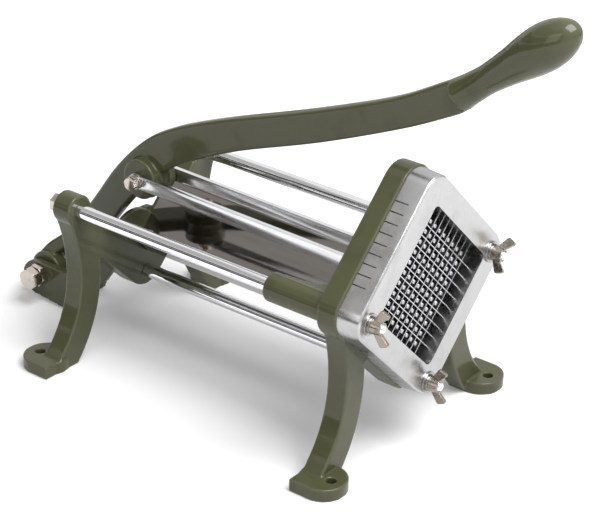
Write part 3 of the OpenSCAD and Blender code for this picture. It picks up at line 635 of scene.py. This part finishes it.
def pin_field_tree():
    """Square pins with a draft and rounded tips, on a grid of columns and rows."""
    tree, give, take = geometry_tree("Pin field", [
        ("Columns", "NodeSocketInt", PIN_COLUMNS), ("Rows", "NodeSocketInt", PIN_ROWS),
        ("Pitch", "NodeSocketFloat", 0.01), ("Side", "NodeSocketFloat", 0.005),
        ("Length", "NodeSocketFloat", 0.02), ("Corner", "NodeSocketFloat", 0.001),
        ("Tip Share", "NodeSocketFloat", 0.8),
        ("Finish", "NodeSocketMaterial", None)])
    link = tree.links.new

    def math_node(operation, a, b):
        made = node(tree, "ShaderNodeMath", operation=operation)
        for socket, value in zip(made.inputs, (a, b)):
            if isinstance(value, (int, float)):
                socket.default_value = value
            else:
                link(value, socket)
        return made.outputs[0]

    square = node(tree, "GeometryNodeCurvePrimitiveQuadrilateral")
    link(give.outputs["Side"], square.inputs["Width"])
    link(give.outputs["Side"], square.inputs["Height"])
    corner = node(tree, "GeometryNodeFilletCurve", {"Count": CORNER_POINTS}, mode="POLY")
    link(square.outputs[0], corner.inputs["Curve"])
    link(give.outputs["Corner"], corner.inputs["Radius"])
    base = node(tree, "GeometryNodeFillCurve", mode="NGONS")
    link(corner.outputs["Curve"], base.inputs["Curve"])
    rise = math_node("SUBTRACT", give.outputs["Length"], give.outputs["Corner"])
    top, mesh = None, base.outputs["Mesh"]
    width = 1.0
    for step in range(TIP_STEPS + 1):
        grow = node(tree, "GeometryNodeExtrudeMesh", mode="FACES")
        grow.inputs["Individual"].default_value = False
        link(mesh, grow.inputs["Mesh"])
        if top is not None:
            link(top, grow.inputs["Selection"])
        narrow = node(tree, "GeometryNodeScaleElements")
        link(grow.outputs["Mesh"], narrow.inputs["Geometry"])
        link(grow.outputs["Top"], narrow.inputs["Selection"])
        if step == 0:
            link(rise, grow.inputs["Offset Scale"])
            link(give.outputs["Tip Share"], narrow.inputs["Scale"])
        else:
            low, high = (math.pi / 2 * ring / TIP_STEPS for ring in (step - 1, step))
            ring_rise = math.sin(high) - math.sin(low)
            link(math_node("MULTIPLY", give.outputs["Corner"], ring_rise),
                 grow.inputs["Offset Scale"])
            ring_width = 1 - TIP_NARROWING * (1 - math.cos(high))
            narrow.inputs["Scale"].default_value = ring_width / width
            width = ring_width
        mesh, top = narrow.outputs["Geometry"], grow.outputs["Top"]
    foot = node(tree, "GeometryNodeFlipFaces")
    link(base.outputs["Mesh"], foot.inputs["Mesh"])
    whole = node(tree, "GeometryNodeJoinGeometry")
    link(mesh, whole.inputs["Geometry"])
    link(foot.outputs["Mesh"], whole.inputs["Geometry"])
    sewn = node(tree, "GeometryNodeMergeByDistance")
    sewn.inputs["Distance"].default_value = SHORTEST_EDGE
    link(whole.outputs["Geometry"], sewn.inputs["Geometry"])
    points = node(tree, "GeometryNodeMeshGrid")
    for size, count, label in (
            ("Size X", "Vertices X", "Columns"), ("Size Y", "Vertices Y", "Rows")):
        link(give.outputs[label], points.inputs[count])
        gaps = math_node("SUBTRACT", give.outputs[label], 1)
        link(math_node("MULTIPLY", gaps, give.outputs["Pitch"]), points.inputs[size])
    copies = node(tree, "GeometryNodeInstanceOnPoints")
    link(points.outputs["Mesh"], copies.inputs["Points"])
    link(sewn.outputs["Geometry"], copies.inputs["Instance"])
    close_tree(tree, copies.outputs["Instances"], give, take)
    return tree


def pusher_plate(half_width, half_height, thick):
    """The plate behind the pins, with its front face at Z = 0."""
    shape = bmesh.new()
    bmesh.ops.create_cube(shape, size=1.0, matrix=Matrix.Translation(
        (0, 0, -thick / 2)) @ Matrix.Diagonal((2 * half_width, 2 * half_height, thick, 1)))
    bmesh.ops.bevel(
        shape, geom=shape.edges, offset=PLATE_ROUND, segments=3, profile=0.5, affect="EDGES")
    mesh = bpy.data.meshes.new("pusher_plate")
    shape.to_mesh(mesh)
    shape.free()
    return mesh


# ---------------------------------------------------------------- stage

WHITE, BLACK = (1, 1, 1, 1), (0, 0, 0, 1)
FLOOR_REACH, FLOOR_CELLS = 12.0, 8     # metres from the middle to an edge, and cells along it
LIFT_START, LIFT_END = 0.14, 1.5       # metres from the middle, between which it turns white
LAMP_TARGET = (0.0, 0.0, 0.1)
LAMPS = (  # name, place, width in metres, setting that holds its power
    ("key lamp", (0.9, 0.0, 1.7), 1.3, "key"), ("fill lamp", (0.1, -2.0, 1.1), 1.2, "fill"))
CARDS = (  # name, azimuths, elevations in degrees, brightness
    ("card low", (-100, 30), (1, 15), 0.01), ("card middle", (-100, 30), (18, 31), 0.08),
    ("card high", (-105, 10), (35, 58), 0.52), ("card far", (110, 250), (0.5, 8), 0.03))
CARD_GLOW = (1, 0.98, 0.95, 1)
CARD_RADIUS = 2.5
CARD_COLUMNS, CARD_ROWS = 24, 4        # cells round a card and up it
SENSOR_WIDTH_MM = 36.0
CLIP_NEAR, CLIP_FAR = 0.05, 50.0


def seen_factor(tree):
    """1 for camera, glossy and transmission rays, and 0 for the rest."""
    path = node(tree, "ShaderNodeLightPath")
    total = path.outputs["Is Camera Ray"]
    for label in ("Is Glossy Ray", "Is Transmission Ray"):
        add = node(tree, "ShaderNodeMath", operation="MAXIMUM")
        tree.links.new(total, add.inputs[0])
        tree.links.new(path.outputs[label], add.inputs[1])
        total = add.outputs[0]
    return total


def lay_floor(look):
    """A pale floor that takes the shadow. As it is seen, it is brighter farther out."""
    shape = bmesh.new()
    bmesh.ops.create_grid(
        shape, x_segments=FLOOR_CELLS, y_segments=FLOOR_CELLS, size=FLOOR_REACH)
    mesh = bpy.data.meshes.new("floor")
    shape.to_mesh(mesh)
    shape.free()
    floor = new_object("floor", mesh)
    material, surface = new_material("Pale floor", Roughness=0.9, Specular_IOR_Level=0.1)
    surface.inputs["Base Color"].default_value = rgba(look.floor)
    surface.inputs["Emission Color"].default_value = WHITE
    tree = material.node_tree
    place = node(tree, "ShaderNodeTexCoord")
    far = node(tree, "ShaderNodeVectorMath", operation="LENGTH")
    spread = node(tree, "ShaderNodeMapRange", {
        "From Min": LIFT_START, "From Max": LIFT_END, "To Min": look.floor_lift, "To Max": 1.0})
    lift = node(tree, "ShaderNodeMath", operation="MULTIPLY")
    tree.links.new(place.outputs["Object"], far.inputs[0])
    tree.links.new(far.outputs["Value"], spread.inputs["Value"])
    tree.links.new(spread.outputs["Result"], lift.inputs[1])
    tree.links.new(seen_factor(tree), lift.inputs[0])
    tree.links.new(lift.outputs[0], surface.inputs["Emission Strength"])
    mesh.materials.append(material)


def set_surroundings(scene, look):
    """A pale sky for the light, which is white where it is seen, also in reflections."""
    world = bpy.data.worlds.new("Pale studio")
    scene.world = world
    world.use_nodes = True
    tree = world.node_tree
    back = tree.nodes["Background"]
    back.inputs["Color"].default_value = WHITE
    strength = node(tree, "ShaderNodeMapRange", {"To Min": look.sky, "To Max": 1.0})
    tree.links.new(seen_factor(tree), strength.inputs["Value"])
    tree.links.new(strength.outputs["Result"], back.inputs["Strength"])


def add_lamps(look):
    for name, place, width, setting in LAMPS:
        lamp = bpy.data.lights.new(name, "AREA")
        lamp.shape, lamp.size, lamp.energy = "SQUARE", width, getattr(look, setting)
        made = new_object(name, lamp)
        made.location = place
        aim = Vector(LAMP_TARGET) - Vector(place)
        made.rotation_euler = aim.to_track_quat("-Z", "Y").to_euler()


def card_point(azimuth, elevation):
    return (CARD_RADIUS * math.sin(azimuth) * math.cos(elevation),
            -CARD_RADIUS * math.cos(azimuth) * math.cos(elevation),
            CARD_RADIUS * math.sin(elevation))


def steps_between(limits, count):
    """Angles in radians from one limit to the other, in that many steps."""
    return [math.radians(limits[0] + (limits[1] - limits[0]) * k / count)
            for k in range(count + 1)]


def add_cards():
    """Curved cards round the set, seen only in reflections, give the plate its dark lines."""
    for name, azimuths, elevations, level in CARDS:
        material, surface = new_material(name, Roughness=1.0, Specular_IOR_Level=0.0)
        surface.inputs["Base Color"].default_value = BLACK
        surface.inputs["Emission Color"].default_value = CARD_GLOW
        surface.inputs["Emission Strength"].default_value = level
        shape = bmesh.new()
        rows = [[shape.verts.new(card_point(a, e)) for e in steps_between(elevations, CARD_ROWS)]
                for a in steps_between(azimuths, CARD_COLUMNS)]
        for left, right in zip(rows, rows[1:]):
            for j in range(CARD_ROWS):
                shape.faces.new((left[j], left[j + 1], right[j + 1], right[j]))
        mesh = bpy.data.meshes.new(name)
        shape.to_mesh(mesh)
        shape.free()
        mesh.materials.append(material)
        card = new_object(name, mesh)
        card.visible_camera = card.visible_diffuse = card.visible_shadow = False


def add_camera(scene, look):
    """A camera on the photo's line of sight, level before it is rolled."""
    lens = bpy.data.cameras.new("camera")
    lens.lens, lens.sensor_width, lens.sensor_fit = look.lens, SENSOR_WIDTH_MM, "HORIZONTAL"
    lens.clip_start, lens.clip_end = CLIP_NEAR, CLIP_FAR
    camera = new_object("camera", lens)
    back = Vector((math.sin(look.azimuth) * math.cos(look.elevation),
                   -math.cos(look.azimuth) * math.cos(look.elevation),
                   math.sin(look.elevation)))
    right = (-back).cross(Vector((0, 0, 1))).normalized()
    up = right.cross(-back)
    c, s = math.cos(look.roll), math.sin(look.roll)
    axes = Matrix((right * c + up * s, up * c - right * s, back)).transposed().to_4x4()
    place = Vector(look.target) + back * look.distance
    camera.matrix_world = Matrix.Translation(place) @ axes
    scene.camera = camera
    scene.view_settings.view_transform = "Standard"


# ---------------------------------------------------------------- operators

class CUTTER_OT_finishes(bpy.types.Operator):
    """Makes the enamel and the metal materials"""
    bl_idname = "cutter.finishes"
    bl_label = "Finishes"

    def execute(self, context):
        make_materials(context.scene.cutter_finishes)
        return {"FINISHED"}


CASTINGS = (  # CAD node, piece, body, share of the casting grid, smoothing rounds
    ("front_frame", "front_casting", "frame", 1.0, 3),
    ("rear_frame", "rear_casting", "frame", 1.0, 3),
    ("pusher_carriage", "carriage_casting", "pusher", 0.75, 3),
    ("lever", "lever_casting", "lever", 1.0, 4))


class CUTTER_OT_castings(bpy.types.Operator):
    """Rounds the edges of the enamelled frames, carriage and lever"""
    bl_idname = "cutter.castings"
    bl_label = "Castings"

    def execute(self, context):
        grid = context.scene.cutter_sizes.casting_grid
        for cad_node, name, body, share, rounds in CASTINGS:
            made = soften(cad_node, name, grid * share, rounds)
            place_piece(made, body, "enamel", "enamel", cad_node)
        return {"FINISHED"}


class CUTTER_OT_rods(bpy.types.Operator):
    """Turns the three chrome rods with their threaded ends"""
    bl_idname = "cutter.rods"
    bl_label = "Rods"

    def execute(self, context):
        pitch = context.scene.cutter_sizes.thread_pitch
        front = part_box("front_frame")[0].x
        for cad_node in ("guide_rod_left", "guide_rod_right", "tie_rod_bottom"):
            low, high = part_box(cad_node)
            place = ((low.y + high.y) / 2, (low.z + high.z) / 2)
            profile, thread = rod_profile(low.x, front, high.x, (high.y - low.y) / 2, pitch)
            made = turned(cad_node + "_turned", profile, place, pitch, thread)
            place_piece(made, "frame", "chrome", "chrome", cad_node)
        return {"FINISHED"}


class CUTTER_OT_pusher_pins(bpy.types.Operator):
    """Grows the field of pins and bevels the plate that they stand on"""
    bl_idname = "cutter.pusher_pins"
    bl_label = "Pusher pins"

    def execute(self, context):
        size = context.scene.cutter_sizes
        low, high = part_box("pusher_block")
        plate_front = high.x - size.pin_length
        # Columns and rows stand on the diagonal, and the pins' Z becomes the model's X
        turn = Matrix.Translation((plate_front, 0, (low.z + high.z) / 2)) @ Matrix((
            (0, 0, 1, 0), (DIAGONAL, DIAGONAL, 0, 0), (-DIAGONAL, DIAGONAL, 0, 0), (0, 0, 0, 1)))
        pins = grown("pusher_pins", pin_field_tree(), {
            "Columns": PIN_COLUMNS, "Rows": PIN_ROWS, "Pitch": size.pin_pitch,
            "Side": size.pin_side, "Length": size.pin_length, "Corner": size.pin_corner,
            "Tip Share": size.pin_tip_share, "Finish": finish_named("alloy")}, turn)
        margin = PLATE_MARGIN + size.pin_side / 2
        half_width, half_height = (
            (count - 1) / 2 * size.pin_pitch + margin for count in (PIN_COLUMNS, PIN_ROWS))
        plate = pusher_plate(half_width, half_height, plate_front - low.x)
        plate.transform(turn)
        sharpen(plate, PLATE_SHARP_FROM)
        sharpen(pins.data, PIN_SHARP_FROM)
        place_piece(new_object("pusher_plate", plate), "pusher", "alloy", "alloy")
        place_piece(pins, "pusher", None, "alloy", "pusher_block")
        return {"FINISHED"}


class CUTTER_OT_head(bpy.types.Operator):
    """Bevels the blade holder and finishes the blades"""
    bl_idname = "cutter.head"
    bl_label = "Cutting head"

    def execute(self, context):
        made = bevelled("blade_holder", "holder_machined", context.scene.cutter_sizes.edge,
                        bevel_from=HOLDER_BEVEL_FROM)
        place_piece(made, "frame", "alloy", "alloy", "blade_holder")
        for cad_node in ("blades_level_set", "blades_cross_set"):
            give_finish(cad_node, "blade")
        return {"FINISHED"}


class CUTTER_OT_tray(bpy.types.Operator):
    """Finishes the stainless tray and its screws"""
    bl_idname = "cutter.tray"
    bl_label = "Tray"

    def execute(self, context):
        give_finish("tray", "stainless")
        give_finish("tray_screws", "nickel")
        return {"FINISHED"}


LINK_PIECES = (  # CAD node, finish
    ("link_left", "satin"), ("link_right", "satin"), ("link_pin", "chrome"))


class CUTTER_OT_links(bpy.types.Operator):
    """Rounds the edges of the chrome links and their pin"""
    bl_idname = "cutter.links"
    bl_label = "Links"

    def execute(self, context):
        width = context.scene.cutter_sizes.plate_edge
        for cad_node, finish in LINK_PIECES:
            made = bevelled(cad_node, cad_node + "_polished", width, segments=3)
            place_piece(made, "links", finish, "chrome", cad_node)
        give_finish("link_pin_clips", "zinc")
        return {"FINISHED"}


NUT_ROUNDS = 4  # smoothing rounds of a forged wing nut


class CUTTER_OT_wing_nuts(bpy.types.Operator):
    """Rounds the three wing nuts as forged pieces"""
    bl_idname = "cutter.wing_nuts"
    bl_label = "Wing nuts"

    def execute(self, context):
        grid = context.scene.cutter_sizes.nut_grid
        for cad_node in ("wing_nut_left", "wing_nut_right", "wing_nut_bottom"):
            made = soften(cad_node, cad_node + "_forged", grid, NUT_ROUNDS)
            place_piece(made, cad_node, "forging", "nickel", cad_node)
        return {"FINISHED"}


FASTENERS = (  # CAD node, body, finish
    ("rod_bolts", "frame", "nickel"), ("hinge_bolt", "frame", "nickel"),
    ("hinge_jam_nut", "frame", "nickel"), ("link_bolt", "lever", "nickel"),
    ("link_bolt_nuts", "lever", "nickel"), ("link_bolt_washers", "lever", "zinc"),
    ("flat_washers", "frame", "zinc"), ("spring_washers", "frame", "zinc"),
    ("block_screws", "pusher", "nickel"))
FASTENER_KINDS = {  # finish: slot, and its share of the width of a machined edge's rounding
    "nickel": ("nickel", 1.0), "zinc": ("washer_steel", 0.6)}


class CUTTER_OT_fasteners(bpy.types.Operator):
    """Bevels the bolts, nuts, washers and screws"""
    bl_idname = "cutter.fasteners"
    bl_label = "Fasteners"

    def execute(self, context):
        edge = context.scene.cutter_sizes.edge
        for cad_node, body, finish in FASTENERS:
            slot, share = FASTENER_KINDS[finish]
            made = bevelled(cad_node, cad_node + "_finished", share * edge)
            place_piece(made, body, finish, slot, cad_node)
        return {"FINISHED"}


class CUTTER_OT_stage(bpy.types.Operator):
    """Lays the floor and sets the lamps, the surroundings and the camera"""
    bl_idname = "cutter.stage"
    bl_label = "Stage"

    def execute(self, context):
        look = context.scene.cutter_stage
        lay_floor(look)
        set_surroundings(context.scene, look)
        add_lamps(look)
        add_cards()
        add_camera(context.scene, look)
        return {"FINISHED"}


# ---------------------------------------------------------------- panel and start

STEPS = (CUTTER_OT_finishes, CUTTER_OT_castings, CUTTER_OT_rods, CUTTER_OT_pusher_pins,
         CUTTER_OT_head, CUTTER_OT_tray, CUTTER_OT_links, CUTTER_OT_wing_nuts,
         CUTTER_OT_fasteners, CUTTER_OT_stage)


class CUTTER_PT_pieces(bpy.types.Panel):
    """Lists the steps that dress the cutter, and its settings"""
    bl_idname = "CUTTER_PT_pieces"
    bl_label = "Fry cutter"
    bl_space_type = "VIEW_3D"
    bl_region_type = "UI"
    bl_category = "Fry cutter"

    def draw(self, context):
        for step in STEPS:
            self.layout.operator(step.bl_idname)
        scene = context.scene
        for settings in (scene.cutter_finishes, scene.cutter_sizes, scene.cutter_stage):
            for key in settings.bl_rna.properties.keys():
                if key not in ("rna_type", "name"):
                    self.layout.prop(settings, key)


CLASSES = (CutterFinishes, CutterSizes, CutterStage, *STEPS, CUTTER_PT_pieces)


def register():
    for entry in CLASSES:
        bpy.utils.register_class(entry)
    bpy.types.Scene.cutter_finishes = bpy.props.PointerProperty(type=CutterFinishes)
    bpy.types.Scene.cutter_sizes = bpy.props.PointerProperty(type=CutterSizes)
    bpy.types.Scene.cutter_stage = bpy.props.PointerProperty(type=CutterStage)


def unregister():
    del bpy.types.Scene.cutter_finishes
    del bpy.types.Scene.cutter_sizes
    del bpy.types.Scene.cutter_stage
    for entry in reversed(CLASSES):
        bpy.utils.unregister_class(entry)


def main():
    register()
    for step in STEPS:
        group, name = step.bl_idname.split(".")
        getattr(getattr(bpy.ops, group), name)()


if __name__ == "__main__":
    main()
